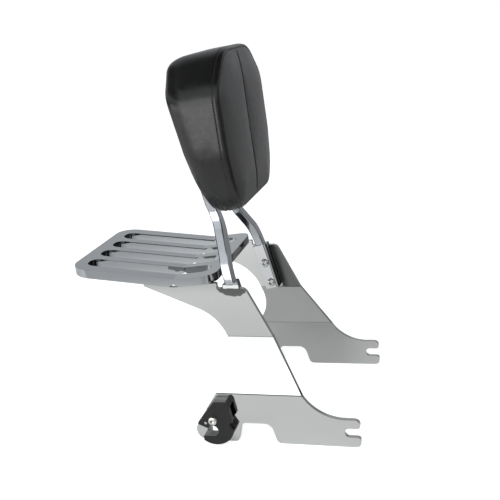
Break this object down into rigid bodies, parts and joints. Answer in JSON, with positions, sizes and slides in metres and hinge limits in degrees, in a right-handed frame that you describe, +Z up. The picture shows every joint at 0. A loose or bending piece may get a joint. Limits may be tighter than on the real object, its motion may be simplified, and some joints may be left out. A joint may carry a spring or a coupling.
{
  "type": "motorcycle sissy bar",
  "caption": "Detachable chromed passenger backrest for a motorcycle: bent side plates with docking notches and rotary latches, a slotted rack and a padded upright.",
  "frame": {"origin": "middle of the length and width, on the level that the lower edges of the side plates rest on", "axes": "+X towards the front of the machine, +Y to its left, +Z up"},
  "size_m": [0.389, 0.2776, 0.507],
  "materials": {
    "chrome_plate": "polished chrome plate",
    "chrome_bar": "polished chrome plate",
    "chrome_rack": "polished chrome plate",
    "black_coat": "satin black coat",
    "screw_steel": "bright zinc plate",
    "latch_screw_steel": "plain steel",
    "spring_steel": "plain spring steel",
    "bush_brass": "turned brass",
    "board_wood": "plain plywood",
    "black_vinyl": "grained black vinyl"
  },
  "bodies": {
    "frame": {"side_plate_right": "chrome_plate", "side_plate_left": "chrome_plate", "upright_foot_right": "chrome_bar", "upright_foot_left": "chrome_bar", "foot_screws_right": "screw_steel", "foot_screws_left": "screw_steel", "rack_tabs_right": "chrome_plate", "rack_tabs_left": "chrome_plate", "rack_screws_right": "screw_steel", "rack_screws_left": "screw_steel", "latch_base_right": "black_coat", "latch_base_left": "black_coat", "latch_dowel_right": "screw_steel", "latch_dowel_left": "screw_steel", "latch_bush_right": "bush_brass", "latch_bush_left": "bush_brass", "latch_wave_washer_right": "spring_steel", "latch_wave_washer_left": "spring_steel", "latch_screw_right": "latch_screw_steel", "latch_screw_left": "latch_screw_steel", "latch_washer_right": "screw_steel", "latch_washer_left": "screw_steel", "latch_nut_right": "screw_steel", "latch_nut_left": "screw_steel", "upright_hoop": "chrome_bar", "luggage_rack": "chrome_rack", "pad": "black_vinyl", "pad_board": "board_wood", "tee_nuts": "screw_steel", "pad_bracket": "chrome_bar", "pad_screws": "screw_steel"},
    "latch_right": {"latch_lever_right": "black_coat"},
    "latch_left": {"latch_lever_left": "black_coat"}
  },
  "joints": [
    {"name": "latch_turn_right", "type": "hinge", "parent": "frame", "child": "latch_right", "pos_m": [0.00225, -0.13, 0.0385], "axis": [0, -1, 0], "range_deg": [0, 60]},
    {"name": "latch_turn_left", "type": "hinge", "parent": "frame", "child": "latch_left", "pos_m": [0.00225, 0.13, 0.0385], "axis": [0, -1, 0], "range_deg": [0, 60]}
  ]
}
